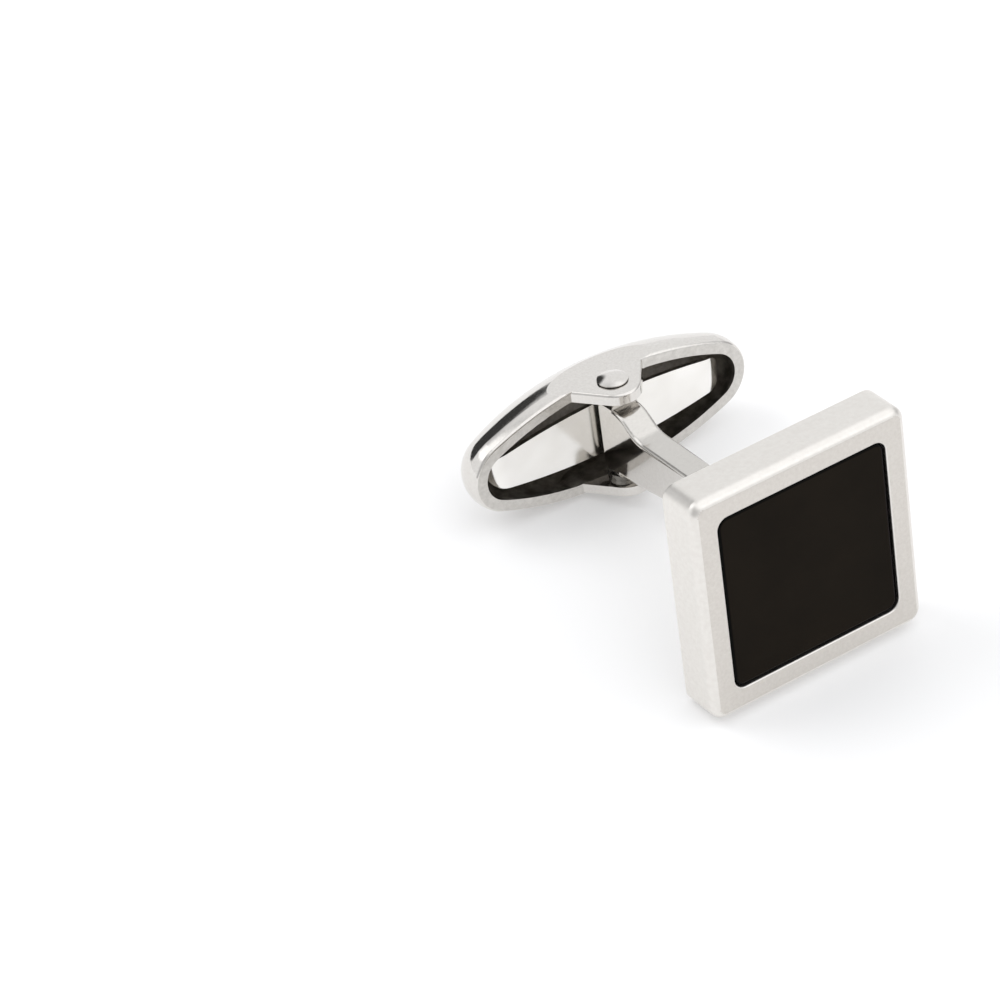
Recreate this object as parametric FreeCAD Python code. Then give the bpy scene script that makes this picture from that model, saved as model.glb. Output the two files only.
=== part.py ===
"""A square cufflink with a stone inlay and a swinging boat-shaped toggle.

The pieces are drawn in the cufflink's own axes: X along the face's width and the toggle's length,
Y from the face's back towards the toggle, Z along the rivet. The back of the face lies at Y = 0.
The finished pieces are then laid down together, resting on the face's lower back edge and on the
toggle, with the floor at Z = 0 and the middle of the outer box above the origin.
"""
import FreeCAD
import Part
import math
import os

# Face, in millimetres like every length here
FACE_SIDE = 15.0
FACE_THICKNESS = 3.0
FACE_CORNER_RADIUS = 0.9
FACE_FRONT_ROUNDING = 0.6
FACE_BACK_ROUNDING = 0.2
FACE_BORDER = 1.6
RECESS_CORNER_RADIUS = 0.75
RECESS_EDGE_ROUNDING = 0.1
INLAY_THICKNESS = 1.0
INLAY_EDGE_ROUNDING = 0.25
INLAY_SET_BACK = 0.1
INLAY_SIDE_GAP = 0.06
CEMENT_THICKNESS = 0.1

# Post, a flat bar with an eye block for the rivet and a short tail behind it
POST_LENGTH = 16.1
POST_THICKNESS = 1.9
POST_EDGE_ROUNDING = 0.25
UPPER_WAIST = 1.05
LOWER_WAIST = 0.5
EYE_REACH = 0.95
EYE_STEP = 0.3
UPPER_SWELL_LENGTH = 3.05
LOWER_SWELL_LENGTH = 6.35
TAIL_REACH = 0.75
TAIL_SIDE_ROUNDING = 0.4
TAIL_CORNER_RADIUS = 0.8
TENON_DIAMETER = 1.5
TENON_FLOOR = 0.6

# Toggle, a hollow spindle cut open by its rim plane, with two flat sides and an ear on each
TOGGLE_LENGTH = 19.9
TOGGLE_WIDTH = 7.9
TOGGLE_END_RADIUS = 2.5
TOGGLE_WALL = 0.7
RIM_SET_BACK = 0.65
RIM_RISE = 0.8
RIM_ROUNDING = 0.18
EAR_SET_IN = 0.3
EAR_WIDTH = 5.2
EAR_REACH = 1.85
EAR_TIP_RADIUS = 1.5

# Leaf spring inside the toggle
LEAF_THICKNESS = 0.3
LEAF_SIDE_GAP = 1.45
LEAF_END_GAP = 0.75
LEAF_END_ROUNDNESS = 0.64
LEAF_BENT_LENGTH = 1.3

# Rivet and its two washers
RIVET_DIAMETER = 1.0
RIVET_HEAD_DIAMETER = 1.9
RIVET_HEAD_SIDE = 0.12
RIVET_HEAD_UNDERCUT = 0.06
RIVET_HEAD_HEIGHT = 0.3
WASHER_DIAMETER = 2.0
WASHER_THICKNESS = 0.3

# Clearances
EYE_CLEARANCE = 0.04
EYE_SIDE_CLEARANCE = 0.05
FIXED_CLEARANCE = 0.02
TAIL_SWEEP_CLEARANCE = 0.04
FOLD_CLEARANCE = 0.1
LEAF_SEAT_CLEARANCE = 0.05

# Sameness of two lengths in a drawing
TOLERANCE = 1e-6

# Heights and places worked out from the sizes above
RECESS_DEPTH = INLAY_SET_BACK + INLAY_THICKNESS + CEMENT_THICKNESS
RECESS_SIDE = FACE_SIDE - 2 * FACE_BORDER
TENON_LENGTH = FACE_THICKNESS - RECESS_DEPTH - TENON_FLOOR
RIM_Y = POST_LENGTH + RIM_SET_BACK
SPINDLE_Y = RIM_Y + RIM_RISE
HALF_LENGTH = TOGGLE_LENGTH / 2
HALF_WIDTH = TOGGLE_WIDTH / 2
EAR_OUTER_Z = HALF_WIDTH - EAR_SET_IN
EAR_INNER_Z = EAR_OUTER_Z - TOGGLE_WALL
EYE_HALF_HEIGHT = EAR_INNER_Z - WASHER_THICKNESS - EYE_SIDE_CLEARANCE
SHOULDER_Z = EYE_HALF_HEIGHT - EYE_STEP
SHANK_ABOVE = SHOULDER_Z - UPPER_WAIST
SHANK_BELOW = SHOULDER_Z - LOWER_WAIST
EYE_START_Y = POST_LENGTH - EYE_REACH
TAIL_END_Y = POST_LENGTH + TAIL_REACH
RIVET_HOLE_RADIUS = RIVET_DIAMETER / 2 + FIXED_CLEARANCE
LEAF_HALF_LENGTH = HALF_LENGTH - TOGGLE_WALL - LEAF_END_GAP
LEAF_HALF_WIDTH = HALF_WIDTH - TOGGLE_WALL - LEAF_SIDE_GAP
LEAF_END_RADIUS = LEAF_HALF_WIDTH * LEAF_END_ROUNDNESS
LEAF_FLAT_HALF = LEAF_HALF_LENGTH - LEAF_BENT_LENGTH
LEAF_STATIONS = 40


def point(x, y, z):
    return FreeCAD.Vector(x, y, z)


def line(start, end):
    return Part.makeLine(start, end)


def arc(start, middle, end):
    return Part.Arc(start, middle, end).toShape()


def prism(edges, sweep):
    """A solid swept along a vector from a closed flat outline."""
    return Part.Face(Part.Wire(edges)).extrude(sweep)


def rounded_square(side, radius, y_front, y_back):
    """A square block with rounded corners, between two planes across Y."""
    half = side / 2
    inner = half - radius
    reach = inner + radius * math.sqrt(0.5)
    edges = []
    for sx, sz in ((1, 1), (-1, 1), (-1, -1), (1, -1)):
        beside = point(sx * half, y_front, sz * inner)
        across = point(sx * inner, y_front, sz * half)
        first, last = (beside, across) if sx * sz > 0 else (across, beside)
        if edges:
            edges.append(line(edges[-1].lastVertex().Point, first))
        edges.append(arc(first, point(sx * reach, y_front, sz * reach), last))
    edges.append(line(edges[-1].lastVertex().Point, edges[0].firstVertex().Point))
    return prism(edges, point(0, y_back - y_front, 0))


def edges_at(shape, axis, place):
    """The edges of a shape that lie in one plane across an axis."""
    return [e for e in shape.Edges
            if all(abs(getattr(v.Point, axis) - place) < TOLERANCE for v in e.Vertexes)]


def edges_across_x(edges):
    """Those of some edges that lie in a plane across X."""
    return [e for e in edges if e.BoundBox.XLength < TOLERANCE]


def cylinder_along_z(x, y, radius, z_low, z_high):
    return Part.makeCylinder(radius, z_high - z_low, point(x, y, z_low), point(0, 0, 1))


def side_arc_radius(half_width, half_length, end_radius):
    """The long side arc that meets both end arcs smoothly."""
    end_centre = half_length - end_radius
    return (end_centre**2 + half_width**2 - end_radius**2) / (2 * (half_width - end_radius))


def spindle_half_width(x, half_width, half_length, end_radius):
    """Half the width of the boat outline at a place along its length."""
    side_radius = side_arc_radius(half_width, half_length, end_radius)
    end_centre = half_length - end_radius
    joint_x = end_centre * side_radius / (side_radius - end_radius)
    if abs(x) <= joint_x:
        return half_width - side_radius + math.sqrt(side_radius**2 - x**2)
    return math.sqrt(max(0, end_radius**2 - (abs(x) - end_centre) ** 2))


def spindle_outline(half_width, half_length, end_radius, place):
    """Half of the boat outline, end to end: an end arc, the long side arc, an end arc."""
    side_radius = side_arc_radius(half_width, half_length, end_radius)
    end_centre = half_length - end_radius
    joint_x = end_centre * side_radius / (side_radius - end_radius)
    joint = (joint_x, spindle_half_width(joint_x, half_width, half_length, end_radius))
    half_turn = math.atan2(joint[1], joint_x - end_centre) / 2
    middle = (end_centre + end_radius * math.cos(half_turn), end_radius * math.sin(half_turn))
    left_end = arc(place(-half_length, 0), place(-middle[0], middle[1]), place(-joint[0], joint[1]))
    side = arc(place(-joint[0], joint[1]), place(0, half_width), place(joint[0], joint[1]))
    right_end = arc(place(joint[0], joint[1]), place(middle[0], middle[1]), place(half_length, 0))
    return [left_end, side, right_end]


def spindle(half_width, half_length, end_radius):
    """The boat outline turned about the toggle's long axis."""
    edges = spindle_outline(half_width, half_length, end_radius, lambda x, r: point(x, SPINDLE_Y, r))
    edges.append(line(point(half_length, SPINDLE_Y, 0), point(-half_length, SPINDLE_Y, 0)))
    face = Part.Face(Part.Wire(edges))
    return face.revolve(point(0, SPINDLE_Y, 0), point(1, 0, 0), 360)


def recess_mouth_edges(bezel):
    """The edges round the mouth of the recess."""
    mouth = []
    for edge in edges_at(bezel, "y", -FACE_THICKNESS):
        box = edge.BoundBox
        if max(box.XMax, -box.XMin, box.ZMax, -box.ZMin) < RECESS_SIDE / 2 + TOLERANCE:
            mouth.append(edge)
    return mouth


def make_bezel():
    """The steel face with the stone's recess in front and the tenon's hole behind."""
    block = rounded_square(FACE_SIDE, FACE_CORNER_RADIUS, -FACE_THICKNESS, 0)
    block = block.makeFillet(FACE_FRONT_ROUNDING, edges_at(block, "y", -FACE_THICKNESS))
    block = block.makeFillet(FACE_BACK_ROUNDING, edges_at(block, "y", 0))
    floor = RECESS_DEPTH - FACE_THICKNESS
    recess = rounded_square(RECESS_SIDE, RECESS_CORNER_RADIUS, -FACE_THICKNESS, floor)
    bezel = block.cut(recess)
    bezel = bezel.makeFillet(RECESS_EDGE_ROUNDING, recess_mouth_edges(bezel))
    hole_radius = TENON_DIAMETER / 2 + FIXED_CLEARANCE
    hole_depth = TENON_LENGTH + FIXED_CLEARANCE
    hole = Part.makeCylinder(hole_radius, hole_depth, point(0, 0, 0), point(0, -1, 0))
    return bezel.cut(hole)


def make_inlay():
    """The polished stone, its front edge eased all round."""
    front = INLAY_SET_BACK - FACE_THICKNESS
    side = RECESS_SIDE - 2 * INLAY_SIDE_GAP
    stone = rounded_square(side, RECESS_CORNER_RADIUS - INLAY_SIDE_GAP, front, front + INLAY_THICKNESS)
    return stone.makeFillet(INLAY_EDGE_ROUNDING, edges_at(stone, "y", front))


def make_inlay_cement():
    """The bed of adhesive between the stone and the recess's floor."""
    front = INLAY_SET_BACK + INLAY_THICKNESS - FACE_THICKNESS
    side = RECESS_SIDE - 2 * INLAY_SIDE_GAP
    return rounded_square(side, RECESS_CORNER_RADIUS - INLAY_SIDE_GAP, front, front + CEMENT_THICKNESS)


def shank_edge(shank_z, shoulder_z, swell_length):
    """One long edge of the shank seen along X: straight from the face, then swelling to the eye."""
    swell_start = EYE_START_Y - swell_length
    swell_middle = EYE_START_Y - swell_length / 2
    swell = Part.BezierCurve()
    swell.setPoles([
        point(0, swell_start, shank_z),
        point(0, swell_middle, shank_z),
        point(0, swell_middle, shoulder_z),
        point(0, EYE_START_Y, shoulder_z),
    ])
    return [
        line(point(0, 0, shank_z), point(0, swell_start, shank_z)),
        swell.toShape(),
        line(point(0, EYE_START_Y, shoulder_z), point(0, POST_LENGTH, shoulder_z)),
    ]


def make_shank():
    """The flat bar, its long edges rounded, running into the middle of the eye block."""
    upper = shank_edge(SHANK_ABOVE, SHOULDER_Z, UPPER_SWELL_LENGTH)
    lower = shank_edge(-SHANK_BELOW, -SHOULDER_Z, LOWER_SWELL_LENGTH)
    end = line(point(0, POST_LENGTH, SHOULDER_Z), point(0, POST_LENGTH, -SHOULDER_Z))
    foot = line(point(0, 0, -SHANK_BELOW), point(0, 0, SHANK_ABOVE))
    bar = prism(upper + [end] + lower[::-1] + [foot], point(POST_THICKNESS, 0, 0))
    bar.translate(point(-POST_THICKNESS / 2, 0, 0))
    long_edges = [e for e in edges_across_x(bar.Edges) if e.BoundBox.YLength > TOLERANCE]
    return bar.makeFillet(POST_EDGE_ROUNDING, long_edges)


def make_eye_block():
    """The block round the rivet, with round corners and softened edges at the tail."""
    block = Part.makeBox(POST_THICKNESS, TAIL_END_Y - EYE_START_Y, 2 * EYE_HALF_HEIGHT,
                         point(-POST_THICKNESS / 2, EYE_START_Y, -EYE_HALF_HEIGHT))
    corners = [e for e in edges_at(block, "y", TAIL_END_Y) if e.BoundBox.XLength > TOLERANCE]
    block = block.makeFillet(TAIL_CORNER_RADIUS, corners)
    return block.makeFillet(TAIL_SIDE_ROUNDING, edges_across_x(edges_at(block, "y", TAIL_END_Y)))


def make_post():
    """The bar from the face to the toggle, with its tenon and the rivet's eye."""
    tenon = Part.makeCylinder(TENON_DIAMETER / 2, TENON_LENGTH, point(0, 0, 0), point(0, -1, 0))
    eye_radius = RIVET_DIAMETER / 2 + EYE_CLEARANCE
    eye = cylinder_along_z(0, POST_LENGTH, eye_radius, -EYE_HALF_HEIGHT, EYE_HALF_HEIGHT)
    return make_shank().fuse(make_eye_block()).fuse(tenon).removeSplitter().cut(eye)


def ear_outline():
    """A flat ear seen along Z: straight sides that slant from the rim to a round tip."""
    half = EAR_WIDTH / 2
    tip_y = POST_LENGTH - EAR_REACH
    centre_y = tip_y + EAR_TIP_RADIUS
    rise = RIM_Y - centre_y
    slant = math.atan2(rise, half) + math.asin(EAR_TIP_RADIUS / math.hypot(half, rise))
    touch_x = EAR_TIP_RADIUS * math.sin(slant)
    touch_y = centre_y - EAR_TIP_RADIUS * math.cos(slant)
    right = [point(half, SPINDLE_Y, 0), point(half, RIM_Y, 0), point(touch_x, touch_y, 0)]
    left = [point(-p.x, p.y, 0) for p in reversed(right)]
    right_side, left_side = ([line(first, second) for first, second in zip(corners, corners[1:])]
                             for corners in (right, left))
    tip = arc(right[-1], point(0, tip_y, 0), left[0])
    back = line(left[-1], right[0])
    return right_side + [tip] + left_side + [back]


def room_behind_rim(half_height):
    """The space behind the rim plane, between two planes across Z."""
    return Part.makeBox(TOGGLE_LENGTH, HALF_WIDTH + RIM_RISE, 2 * half_height,
                        point(-HALF_LENGTH, RIM_Y, -half_height))


def make_ear(side):
    """The ear above (1) or below (-1), its outer edges rounded like the rim."""
    outer_z = side * EAR_OUTER_Z
    ear = prism(ear_outline(), point(0, 0, -side * TOGGLE_WALL))
    ear.translate(point(0, 0, outer_z))
    outer = [e for e in edges_at(ear, "z", outer_z) if e.BoundBox.YMin < RIM_Y - TOLERANCE]
    return ear.makeFillet(RIM_ROUNDING, outer)


def make_toggle_shell():
    """The boat-shaped shell, pressed flat above and below, with an ear standing forward on each side."""
    boat = spindle(HALF_WIDTH, HALF_LENGTH, TOGGLE_END_RADIUS).common(room_behind_rim(HALF_WIDTH))
    boat = boat.makeFillet(RIM_ROUNDING, edges_at(boat, "y", RIM_Y))
    hollow = spindle(HALF_WIDTH - TOGGLE_WALL, HALF_LENGTH - TOGGLE_WALL, TOGGLE_END_RADIUS - TOGGLE_WALL)
    shell = boat.common(room_behind_rim(EAR_OUTER_Z)).cut(hollow.common(room_behind_rim(EAR_INNER_Z)))
    for side in (1, -1):
        shell = shell.fuse(make_ear(side))
    hole = cylinder_along_z(0, POST_LENGTH, RIVET_HOLE_RADIUS, -HALF_WIDTH, HALF_WIDTH)
    return shell.cut(hole).removeSplitter()


def leaf_front_y():
    """The leaf's middle lies just clear of the circle that the tail's edges sweep."""
    across = POST_THICKNESS / 2 - TAIL_SIDE_ROUNDING
    along = TAIL_REACH - TAIL_SIDE_ROUNDING
    sweep = math.hypot(across, along) + TAIL_SIDE_ROUNDING
    return POST_LENGTH + sweep + TAIL_SWEEP_CLEARANCE


def leaf_bend_radius(front_y):
    """How the leaf's ends bend back: as tightly as the shell behind them allows."""
    radius = 0
    for step in range(1, LEAF_STATIONS + 1):
        along = LEAF_BENT_LENGTH * step / LEAF_STATIONS
        x = LEAF_FLAT_HALF + along
        wall = spindle_half_width(x, HALF_WIDTH - TOGGLE_WALL, HALF_LENGTH - TOGGLE_WALL,
                                  TOGGLE_END_RADIUS - TOGGLE_WALL)
        edge = spindle_half_width(x, LEAF_HALF_WIDTH, LEAF_HALF_LENGTH, LEAF_END_RADIUS)
        room = SPINDLE_Y + math.sqrt(wall**2 - edge**2) - LEAF_SEAT_CLEARANCE - front_y
        touching = (room**2 - LEAF_THICKNESS**2 + along**2) / (2 * (room - LEAF_THICKNESS))
        radius = max(radius, touching)
    return radius


def leaf_bent_end(side, front_y, radius):
    """The strip's bent end on the right (1) or left (-1)."""
    x = side * LEAF_FLAT_HALF
    centre_y = front_y + radius
    ring = cylinder_along_z(x, centre_y, radius, -LEAF_HALF_WIDTH, LEAF_HALF_WIDTH).cut(
        cylinder_along_z(x, centre_y, radius - LEAF_THICKNESS, -LEAF_HALF_WIDTH, LEAF_HALF_WIDTH))
    corner = Part.makeBox(radius, radius, 2 * LEAF_HALF_WIDTH,
                          point(min(x, x + side * radius), front_y, -LEAF_HALF_WIDTH))
    return ring.common(corner)


def make_leaf_spring():
    """A flat leaf with round ends, bent back at both to bear on the shell."""
    front_y = leaf_front_y()
    radius = leaf_bend_radius(front_y)
    strip = Part.makeBox(2 * LEAF_FLAT_HALF, LEAF_THICKNESS, 2 * LEAF_HALF_WIDTH,
                         point(-LEAF_FLAT_HALF, front_y, -LEAF_HALF_WIDTH))
    for side in (1, -1):
        strip = strip.fuse(leaf_bent_end(side, front_y, radius))
    plan = []
    for sign in (1, -1):
        plan += spindle_outline(LEAF_HALF_WIDTH, LEAF_HALF_LENGTH, LEAF_END_RADIUS,
                                lambda x, z: point(sign * x, front_y, sign * z))
    return strip.common(prism(plan, point(0, radius, 0))).removeSplitter()


def make_pivot_rivet():
    """The rivet: a plain shank and at each end a head with an undercut side and a dome."""
    radius = RIVET_DIAMETER / 2
    head = RIVET_HEAD_DIAMETER / 2
    top = EAR_OUTER_Z + RIVET_HEAD_HEIGHT
    side = EAR_OUTER_Z + RIVET_HEAD_SIDE
    dome_height = RIVET_HEAD_HEIGHT - RIVET_HEAD_SIDE
    dome = (head**2 + dome_height**2) / (2 * dome_height)
    shoulder_x = head / 2
    shoulder_z = top - dome + math.sqrt(dome**2 - shoulder_x**2)
    foot = head - RIVET_HEAD_UNDERCUT
    foot_top = EAR_OUTER_Z + RIVET_HEAD_UNDERCUT
    y = POST_LENGTH
    edges = [
        line(point(0, y, -top), point(0, y, top)),
        arc(point(0, y, top), point(shoulder_x, y, shoulder_z), point(head, y, side)),
        line(point(head, y, side), point(head, y, foot_top)),
        line(point(head, y, foot_top), point(foot, y, EAR_OUTER_Z)),
        line(point(foot, y, EAR_OUTER_Z), point(radius, y, EAR_OUTER_Z)),
        line(point(radius, y, EAR_OUTER_Z), point(radius, y, -EAR_OUTER_Z)),
        line(point(radius, y, -EAR_OUTER_Z), point(foot, y, -EAR_OUTER_Z)),
        line(point(foot, y, -EAR_OUTER_Z), point(head, y, -foot_top)),
        line(point(head, y, -foot_top), point(head, y, -side)),
        arc(point(head, y, -side), point(shoulder_x, y, -shoulder_z), point(0, y, -top)),
    ]
    return Part.Face(Part.Wire(edges)).revolve(point(0, y, 0), point(0, 0, 1), 360)


def make_pivot_washers():
    """Two washers against the inside of the ears."""
    washers = []
    for low in (EAR_INNER_Z - WASHER_THICKNESS, -EAR_INNER_Z):
        high = low + WASHER_THICKNESS
        ring = cylinder_along_z(0, POST_LENGTH, WASHER_DIAMETER / 2, low, high)
        washers.append(ring.cut(cylinder_along_z(0, POST_LENGTH, RIVET_HOLE_RADIUS, low, high)))
    return Part.makeCompound(washers)


def swing_limit():
    """The turn either way, in radians, at which the rim's end comes close to the side of the post."""
    short = POST_THICKNESS / 2 + FOLD_CLEARANCE - RIM_SET_BACK
    reach = math.hypot(HALF_LENGTH, RIM_SET_BACK)
    return math.pi / 2 - math.asin(short / reach)


def resting_placement():
    """Lay the cufflink down on the face's lower back edge and the back of the toggle's lower flat."""
    edge_y = -FACE_BACK_ROUNDING
    edge_z = FACE_BACK_ROUNDING - FACE_SIDE / 2
    flat_back_y = SPINDLE_Y + math.sqrt(HALF_WIDTH**2 - EAR_OUTER_Z**2)
    run = flat_back_y - edge_y
    drop = -EAR_OUTER_Z - edge_z
    lean = math.atan2(drop, run) + math.asin(FACE_BACK_ROUNDING / math.hypot(run, drop))
    floor = edge_z * math.cos(lean) - edge_y * math.sin(lean) - FACE_BACK_ROUNDING
    front_y = FACE_FRONT_ROUNDING - FACE_THICKNESS
    front_z = FACE_FRONT_ROUNDING - FACE_SIDE / 2
    nearest = front_y * math.cos(lean) + front_z * math.sin(lean) - FACE_FRONT_ROUNDING
    farthest = SPINDLE_Y * math.cos(lean) + HALF_WIDTH
    turn = FreeCAD.Rotation(point(1, 0, 0), -math.degrees(lean))
    return FreeCAD.Placement(point(0, -(nearest + farthest) / 2, -floor), turn)


PIECES = {
    "bezel": make_bezel,
    "inlay": make_inlay,
    "inlay_cement": make_inlay_cement,
    "post": make_post,
    "toggle_shell": make_toggle_shell,
    "leaf_spring": make_leaf_spring,
    "pivot_rivet": make_pivot_rivet,
    "pivot_washers": make_pivot_washers,
}

os.makedirs("parts", exist_ok=True)
placement = resting_placement()
for name, make in PIECES.items():
    shape = make()
    shape.Placement = placement.multiply(shape.Placement)
    shape.exportStep(f"parts/{name}.step")
    print(name, len(shape.Solids), "solid, valid", shape.isValid(), "volume %.3f" % shape.Volume)
print("leans back %.3f degrees" % math.degrees(abs(placement.Rotation.Angle)))
print("swings %.1f degrees either way" % math.degrees(swing_limit()))
for label, place in (("rivet centre", point(0, POST_LENGTH, 0)), ("face back centre", point(0, 0, 0)),
                     ("face front centre", point(0, -FACE_THICKNESS, 0))):
    moved = placement.multVec(place)
    print("%s %.4f %.4f %.4f" % (label, moved.x, moved.y, moved.z))
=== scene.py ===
import math

import bpy
from mathutils import Matrix, Vector

# Camera: places and clipping in metres in the part's frame, lens and sensor in millimetres
CAMERA_PLACE = Vector((-0.11866, -0.15743, 0.19246))
CAMERA_TARGET = Vector((-0.00722, 0.00949, 0.00072))
CAMERA_UP = Vector((0.0, -0.0195, 0.9999))
CAMERA_LENS = 166.6
SENSOR_WIDTH = 36.0
CLIP_NEAR = 0.01
CLIP_FAR = 20.0

# How the part lies: its lean as an angle, its face's back and the depths behind that in metres
LEAN = math.radians(11.316)
FACE_BACK = Vector((0.0, -0.0084258, 0.0073189))
RIM_DEPTH = 0.01675
SPINDLE_DEPTH = 0.01755
FACE_DIRECTION = Vector((0.0, -math.cos(LEAN), math.sin(LEAN)))

# Finishes: colours, the painted shade laid into crevices, how far that painted shade reaches out of a
# crevice in metres, and brushed grain per metre
CREVICE_SHADE_COLOUR = (0.10, 0.092, 0.08, 1.0)
CREVICE_SHADE_REACH = 0.0003
# Painted shade on the stone's edges
STONE_EDGE_SHADE = (0.0010, 0.0009, 0.0008, 1.0)
BRUSH_GRAIN = 12000
BRUSH_STRETCH = (0.4, 1.0, 1.0)

# Choosing a face's finish: least cosine of a face that counts as flat on, and a margin in metres
FLAT_FACING = 0.95
INSIDE_MARGIN = 0.00002

# Floor: radius in metres, number of sides, colour
FLOOR_RADIUS = 1.5
FLOOR_SIDES = 96
FLOOR_COLOUR = (0.97, 0.97, 0.975, 1.0)

# How much white glow the floor and the sky have, as shares: as the camera sees them, and in reflections
FLOOR_GLOW_SEEN = 0.18
FLOOR_GLOW_REFLECTED = 0.40
SKY_GLOW_SEEN = 1.0
SKY_GLOW_REFLECTED = 0.05
WHITE = (1.0, 1.0, 1.0, 1.0)

# The tent's panels: direction, glow far from it and close to it, cosines where that starts and ends
TENT_COLOUR = (0.985, 0.99, 1.0, 1.0)
OVERHEAD = ((0.30, -0.24, 0.92), 0.58, 1.30, 0.62, 0.90)
AROUND = {
    "key": ((-0.41, 0.52, 0.75), 0.0, 0.90, 0.90, 0.97),
    "behind": ((0.50, 0.76, 0.42), 0.0, 0.42, 0.72, 0.93),
    "aside": ((-0.85, 0.40, 0.20), 0.0, 0.40, 0.72, 0.93),
    "before": ((0.45, -0.84, 0.30), 0.0, 0.40, 0.80, 0.96),
}
DARK_GAP = ((-0.13, 0.975, 0.13), 1.0, 0.0, 0.865, 0.925)

# Lamps: place and size in metres, power in watts
LAMPS = {
    "key": ((-0.30, 0.38, 0.55), 0.35, 0.9),
    "fill": ((0.45, -0.25, 0.50), 0.40, 0.3),
}


def into_part(place):
    """A place in the part's frame to the cufflink's own axes: width, depth behind the face, height."""
    return Matrix.Rotation(LEAN, 3, "X") @ (place - FACE_BACK)


class Shader:
    """A material or world under construction: adds nodes and joins them."""

    def __init__(self, owner):
        owner.use_nodes = True
        self.tree = owner.node_tree
        self.tree.nodes.clear()

    def add(self, kind, settings=None, **inputs):
        """A new node with its settings, and values or links on its inputs."""
        node = self.tree.nodes.new(kind)
        for name, value in (settings or {}).items():
            setattr(node, name, value)
        for name, value in inputs.items():
            self.feed(node.inputs[name.replace("_", " ")], value)
        return node

    def feed(self, socket, value):
        """Give an input a value, or a link from another node."""
        if isinstance(value, bpy.types.NodeSocket):
            self.tree.links.new(value, socket)
        else:
            socket.default_value = value

    def noise(self, scale, detail, where=None, roughness=0.55):
        """Grey noise over the surface; scale is in features per metre."""
        node = self.add("ShaderNodeTexNoise", Scale=scale, Detail=detail, Roughness=roughness)
        self.feed(node.inputs["Vector"], where or self.places())
        return node.outputs["Fac"]

    def places(self, stretch=(1.0, 1.0, 1.0)):
        """Surface places in metres, stretched for grain that runs one way."""
        spot = self.add("ShaderNodeTexCoord")
        mapping = self.add("ShaderNodeMapping", Vector=spot.outputs["Object"], Scale=stretch)
        return mapping.outputs["Vector"]

    def spread(self, value, low, high, start=0.35, end=0.65):
        """A value between start and end turned into one between low and high."""
        node = self.add("ShaderNodeMapRange", {"interpolation_type": "SMOOTHSTEP"})
        self.feed(node.inputs["Value"], value)
        for name, number in (("From Min", start), ("From Max", end), ("To Min", low), ("To Max", high)):
            self.feed(node.inputs[name], number)
        return node.outputs["Result"]

    def tint(self, value, first, second, start=0.3, end=0.7):
        """Noise turned into a blend of two colours."""
        ramp = self.add("ShaderNodeValToRGB")
        ramp.color_ramp.elements[0].position = start
        ramp.color_ramp.elements[0].color = (*first, 1.0)
        ramp.color_ramp.elements[1].position = end
        ramp.color_ramp.elements[1].color = (*second, 1.0)
        self.feed(ramp.inputs["Fac"], value)
        return ramp.outputs["Color"]

    def crevice_shaded(self, colour, reach):
        """A colour with painted shade: darker where surfaces meet, within reach of the crevice."""
        shade = self.add("ShaderNodeAmbientOcclusion", {"samples": 12}, Distance=reach)
        blend = self.add("ShaderNodeMixRGB", Color1=CREVICE_SHADE_COLOUR, Color2=colour)
        self.feed(blend.inputs["Fac"], self.spread(shade.outputs["AO"], 0.0, 1.0, start=0.15, end=0.75))
        return blend.outputs["Color"]

    def bump(self, height, distance, strength=1.0, under=None):
        """Heights turned into relief, distance metres at most, over any relief under it."""
        node = self.add("ShaderNodeBump", Strength=strength, Distance=distance)
        self.feed(node.inputs["Height"], height)
        if under is not None:
            self.feed(node.inputs["Normal"], under)
        return node.outputs["Normal"]

    def combine(self, operation, first, second):
        """Two numbers added or multiplied."""
        node = self.add("ShaderNodeMath", {"operation": operation})
        self.feed(node.inputs[0], first)
        self.feed(node.inputs[1], second)
        return node.outputs["Value"]

    def glow_share(self, seen, reflected):
        """A share of glow that is one number for the camera and another for reflections."""
        rays = self.add("ShaderNodeLightPath")
        share = self.combine("MULTIPLY", rays.outputs["Is Camera Ray"], seen)
        for ray in ("Is Glossy Ray", "Is Transmission Ray"):
            more = self.combine("MULTIPLY", rays.outputs[ray], reflected)
            share = self.combine("ADD", share, more)
        return share

    def blend(self, share, first, second):
        """Two shaders mixed, share being how much of the second there is."""
        node = self.add("ShaderNodeMixShader")
        for socket, value in zip(node.inputs, (share, first, second)):
            self.feed(socket, value)
        return node.outputs["Shader"]

    def towards(self, direction, away, full, start, end):
        """A number for each direction of the sky: away far from the given one, full close to it.

        Start and end are cosines of the angle at which the change starts and ends.
        """
        spot = self.add("ShaderNodeTexCoord")
        aligned = self.add("ShaderNodeVectorMath", {"operation": "DOT_PRODUCT"})
        self.feed(aligned.inputs[0], spot.outputs["Generated"])
        self.feed(aligned.inputs[1], Vector(direction).normalized())
        return self.spread(aligned.outputs["Value"], away, full, start, end)


def finished(build):
    """A new material, named after build, which fills in its principled shader."""
    material = bpy.data.materials.new(build.__name__)
    shader = Shader(material)
    surface = shader.add("ShaderNodeBsdfPrincipled")
    shader.add("ShaderNodeOutputMaterial", Surface=surface.outputs["BSDF"])
    build(shader, surface.inputs)
    return material


def satin_steel(shader, surface):
    """Stainless steel with a fine even satin: a faint mottle, fine grain and a soft gloss."""
    mottle = shader.noise(scale=3200, detail=4)
    grain = shader.noise(scale=15000, detail=3)
    shader.feed(surface["Base Color"], shader.tint(mottle, (0.77, 0.743, 0.706), (0.82, 0.798, 0.762)))
    shader.feed(surface["Metallic"], 1.0)
    shader.feed(surface["Roughness"], shader.spread(grain, low=0.28, high=0.40))
    shader.feed(surface["Normal"], shader.bump(grain, distance=0.000005, strength=0.45))


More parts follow.
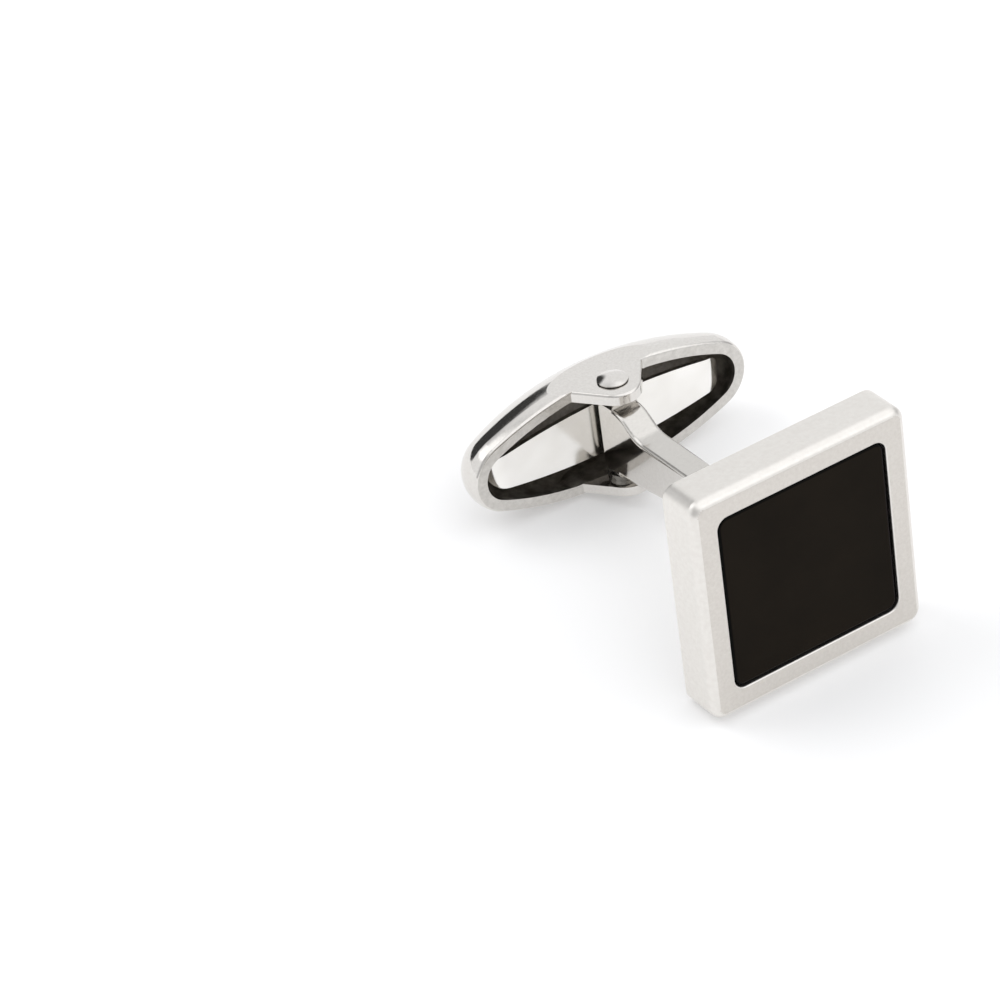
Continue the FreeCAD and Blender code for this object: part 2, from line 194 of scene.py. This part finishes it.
def frosted_shaded_steel(shader, surface):
    """The frame round the stone: a copy of the satin painted greyer than the sides as painted shade, a
    little rougher, with a fine even mottle.
    """
    mottle = shader.noise(scale=5200, detail=4)
    grain = shader.noise(scale=16000, detail=3)
    shader.feed(surface["Base Color"], shader.tint(mottle, (0.645, 0.612, 0.572), (0.705, 0.674, 0.634)))
    shader.feed(surface["Metallic"], 1.0)
    shader.feed(surface["Roughness"], shader.spread(grain, low=0.34, high=0.46))
    shader.feed(surface["Normal"], shader.bump(grain, distance=0.000005, strength=0.45))


def polished_steel(shader, surface):
    """Stainless steel polished by hand: slightly wavy, with faint wipe marks."""
    waves = shader.noise(scale=420, detail=2)
    wipes = shader.noise(scale=7000, detail=3)
    colour = shader.tint(wipes, (0.695, 0.67, 0.64), (0.75, 0.73, 0.70))
    # Painted shade: the colour darkens in crevices
    shader.feed(surface["Base Color"], shader.crevice_shaded(colour, CREVICE_SHADE_REACH))
    shader.feed(surface["Metallic"], 1.0)
    shader.feed(surface["Roughness"], shader.spread(wipes, low=0.07, high=0.13))
    scratched = shader.bump(wipes, distance=0.000002, strength=0.3)
    shader.feed(surface["Normal"], shader.bump(waves, distance=0.00003, strength=0.3, under=scratched))


def brush(shader, surface, grain, colour):
    """Steel of the given colour with a brushed grain, greyer and duller than the polished parts."""
    # Painted shade: the colour darkens in crevices
    shader.feed(surface["Base Color"], shader.crevice_shaded(colour, CREVICE_SHADE_REACH))
    shader.feed(surface["Metallic"], 1.0)
    shader.feed(surface["Roughness"], shader.spread(grain, low=0.16, high=0.21))
    shader.feed(surface["Normal"], shader.bump(grain, distance=0.000001, strength=0.3))


def brushed_steel(shader, surface):
    """The post's narrow edges: clean and even."""
    grain = shader.noise(BRUSH_GRAIN, detail=2, where=shader.places(BRUSH_STRETCH))
    brush(shader, surface, grain, shader.tint(grain, (0.61, 0.59, 0.56), (0.65, 0.63, 0.60)))


def rubbed_steel(shader, surface):
    """The toggle's rim: mottled by wear."""
    grain = shader.noise(BRUSH_GRAIN, detail=2, where=shader.places(BRUSH_STRETCH))
    mottle = shader.noise(scale=3000, detail=4)
    brush(shader, surface, grain, shader.tint(mottle, (0.545, 0.525, 0.497), (0.655, 0.635, 0.605)))


def spring_steel(shader, surface):
    """Bright rolled strip, a little clouded, its grain along the leaf."""
    clouds = shader.noise(scale=300, detail=2)
    grain = shader.noise(scale=6000, detail=3, where=shader.places(stretch=(0.15, 1.0, 1.0)))
    shader.feed(surface["Base Color"], shader.tint(clouds, (0.84, 0.82, 0.785), (0.93, 0.915, 0.89)))
    shader.feed(surface["Metallic"], 1.0)
    shader.feed(surface["Roughness"], shader.spread(grain, low=0.13, high=0.17))
    shader.feed(surface["Normal"], shader.bump(grain, distance=0.000001, strength=0.25))


def shaded_hollow_steel(shader, surface):
    """The toggle's inside: painted dark as the hollow's shade, with paler stains, and a little rough."""
    stain = shader.noise(scale=1300, detail=6, roughness=0.65)
    colour = shader.tint(stain, (0.21, 0.194, 0.173), (0.46, 0.43, 0.395), start=0.40, end=0.68)
    shader.feed(surface["Base Color"], colour)
    shader.feed(surface["Metallic"], 1.0)
    shader.feed(surface["Roughness"], shader.spread(stain, low=0.32, high=0.52))
    shader.feed(surface["Normal"], shader.bump(stain, distance=0.00002, strength=0.6))


def dark_washer(shader, surface):
    """Thin hardened washers, greyer than the steel around them."""
    stain = shader.noise(scale=3000, detail=3)
    shader.feed(surface["Base Color"], shader.tint(stain, (0.20, 0.19, 0.175), (0.40, 0.39, 0.37)))
    shader.feed(surface["Metallic"], 1.0)
    shader.feed(surface["Roughness"], shader.spread(stain, low=0.22, high=0.34))
    shader.feed(surface["Normal"], shader.bump(stain, distance=0.000004, strength=0.4))


def black_stone(shader, surface):
    """Polished black stone with faint warm clouds, and its edges, where they turn away from the front,
    painted near black as shade.
    """
    clouds = shader.noise(scale=260, detail=5)
    polish = shader.noise(scale=2600, detail=3)
    spot = shader.add("ShaderNodeNewGeometry")
    facing = shader.add("ShaderNodeVectorMath", {"operation": "DOT_PRODUCT"})
    shader.feed(facing.inputs[0], spot.outputs["True Normal"])
    shader.feed(facing.inputs[1], FACE_DIRECTION)
    colour = shader.tint(clouds, (0.0068, 0.0045, 0.0022), (0.0102, 0.0069, 0.0036))
    # Painted shade: the stone's edges, turned away from the front, get a near black colour
    edge_shade = shader.add("ShaderNodeMixRGB", Color1=STONE_EDGE_SHADE, Color2=colour)
    on_top = shader.spread(facing.outputs["Value"], 0.0, 1.0, start=0.93, end=0.995)
    shader.feed(edge_shade.inputs["Fac"], on_top)
    shader.feed(surface["Base Color"], edge_shade.outputs["Color"])
    shader.feed(surface["Roughness"], shader.spread(polish, low=0.10, high=0.17))
    shader.feed(surface["Specular IOR Level"], 0.05)
    shader.feed(surface["Normal"], shader.bump(clouds, distance=0.00002, strength=0.15))


def cured_cement(shader, surface):
    """Dark adhesive round the stone."""
    lumps = shader.noise(scale=2500, detail=3)
    shader.feed(surface["Base Color"], shader.tint(lumps, (0.008, 0.008, 0.008), (0.03, 0.03, 0.03)))
    shader.feed(surface["Roughness"], shader.spread(lumps, low=0.5, high=0.7))
    shader.feed(surface["Normal"], shader.bump(lumps, distance=0.00001, strength=0.5))


def bezel_finish(polygon):
    """The slot of one face of the bezel: 1 on the frame round the stone, 0 elsewhere."""
    return 1 if polygon.normal.dot(FACE_DIRECTION) > FLAT_FACING else 0


def shell_finish(polygon):
    """The slot of one face of the toggle: 0 outside and on the ears, 1 in the hollow, 2 on the rim."""
    centre = into_part(polygon.center)
    normal = Matrix.Rotation(LEAN, 3, "X") @ polygon.normal
    if centre.y < RIM_DEPTH + INSIDE_MARGIN:
        return 2 if centre.y > RIM_DEPTH - INSIDE_MARGIN and -normal.y > FLAT_FACING else 0
    inwards = normal.y * (centre.y - SPINDLE_DEPTH) + normal.z * centre.z
    return 1 if inwards < 0 else 0


def post_finish(polygon):
    """The slot of one face of the post: 0 on its two flat sides, 1 on its narrow edges."""
    return 0 if abs(polygon.normal.x) > FLAT_FACING else 1


def dress(nodes):
    """Give each piece its finish."""
    polished = finished(polished_steel)
    finishes = {
        # The frame round the stone takes a darker copy of the satin, as painted shade
        "bezel": [finished(satin_steel), finished(frosted_shaded_steel)],
        "inlay": [finished(black_stone)],
        "inlay_cement": [finished(cured_cement)],
        "post": [polished, finished(brushed_steel)],
        # The hollow's finish is painted dark as shade
        "toggle_shell": [polished, finished(shaded_hollow_steel), finished(rubbed_steel)],
        "leaf_spring": [finished(spring_steel)],
        "pivot_rivet": [polished],
        "pivot_washers": [finished(dark_washer)],
    }
    for name, materials in finishes.items():
        mesh = nodes[name].data
        mesh.materials.clear()
        for material in materials:
            mesh.materials.append(material)
    choices = {"bezel": bezel_finish, "toggle_shell": shell_finish, "post": post_finish}
    for name, choose in choices.items():
        for polygon in nodes[name].data.polygons:
            polygon.material_index = choose(polygon)


def lay_floor():
    """A white table that keeps the soft shadow."""
    bpy.ops.mesh.primitive_circle_add(vertices=FLOOR_SIDES, radius=FLOOR_RADIUS, fill_type="NGON")
    floor = bpy.context.object
    floor.name = "floor"
    material = bpy.data.materials.new("white_table")
    shader = Shader(material)
    paper = shader.add("ShaderNodeBsdfDiffuse", Color=FLOOR_COLOUR)
    glow = shader.add("ShaderNodeEmission", Color=WHITE, Strength=1.0)
    share = shader.glow_share(FLOOR_GLOW_SEEN, FLOOR_GLOW_REFLECTED)
    table = shader.blend(share, paper.outputs["BSDF"], glow.outputs["Emission"])
    shader.add("ShaderNodeOutputMaterial", Surface=table)
    floor.data.materials.append(material)


def hang_sky():
    """A grey tent with brighter panels and a dark gap low at the back; the camera sees plain white."""
    world = bpy.data.worlds.new("tent")
    bpy.context.scene.world = world
    shader = Shader(world)
    panels = shader.towards(*OVERHEAD)
    for panel in AROUND.values():
        panels = shader.combine("ADD", panels, shader.towards(*panel))
    glow = shader.combine("MULTIPLY", panels, shader.towards(*DARK_GAP))
    tent = shader.add("ShaderNodeBackground", Color=TENT_COLOUR, Strength=glow)
    white = shader.add("ShaderNodeBackground", Color=WHITE, Strength=1.0)
    share = shader.glow_share(SKY_GLOW_SEEN, SKY_GLOW_REFLECTED)
    sky = shader.blend(share, tent.outputs["Background"], white.outputs["Background"])
    shader.add("ShaderNodeOutputWorld", Surface=sky)


def hang_lamp(name, place, size, power):
    """A soft square lamp aimed at the cufflink."""
    light = bpy.data.lights.new(name, "AREA")
    light.size = size
    light.energy = power
    lamp = bpy.data.objects.new(name, light)
    lamp.visible_glossy = False
    bpy.context.scene.collection.objects.link(lamp)
    lamp.location = place
    lamp.rotation_euler = (-Vector(place)).to_track_quat("-Z", "Y").to_euler()


def set_camera():
    """The photograph's view."""
    data = bpy.data.cameras.new("camera")
    data.lens = CAMERA_LENS
    data.sensor_width = SENSOR_WIDTH
    data.clip_start = CLIP_NEAR
    data.clip_end = CLIP_FAR
    camera = bpy.data.objects.new("camera", data)
    bpy.context.scene.collection.objects.link(camera)
    ahead = (CAMERA_TARGET - CAMERA_PLACE).normalized()
    right = ahead.cross(CAMERA_UP).normalized()
    above = right.cross(ahead)
    turn = Matrix((right, above, -ahead)).transposed()
    camera.matrix_world = Matrix.Translation(CAMERA_PLACE) @ turn.to_4x4()
    bpy.context.scene.camera = camera


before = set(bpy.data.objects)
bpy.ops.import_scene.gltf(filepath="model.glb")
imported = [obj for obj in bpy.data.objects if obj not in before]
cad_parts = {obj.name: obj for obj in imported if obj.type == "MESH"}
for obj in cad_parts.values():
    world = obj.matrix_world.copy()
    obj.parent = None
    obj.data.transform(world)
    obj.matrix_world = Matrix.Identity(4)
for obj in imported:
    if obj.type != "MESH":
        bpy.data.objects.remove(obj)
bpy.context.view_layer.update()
dress(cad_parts)
lay_floor()
hang_sky()
for name, (place, size, power) in LAMPS.items():
    hang_lamp(name, place, size, power)
set_camera()
bpy.context.scene.view_settings.view_transform = "Standard"
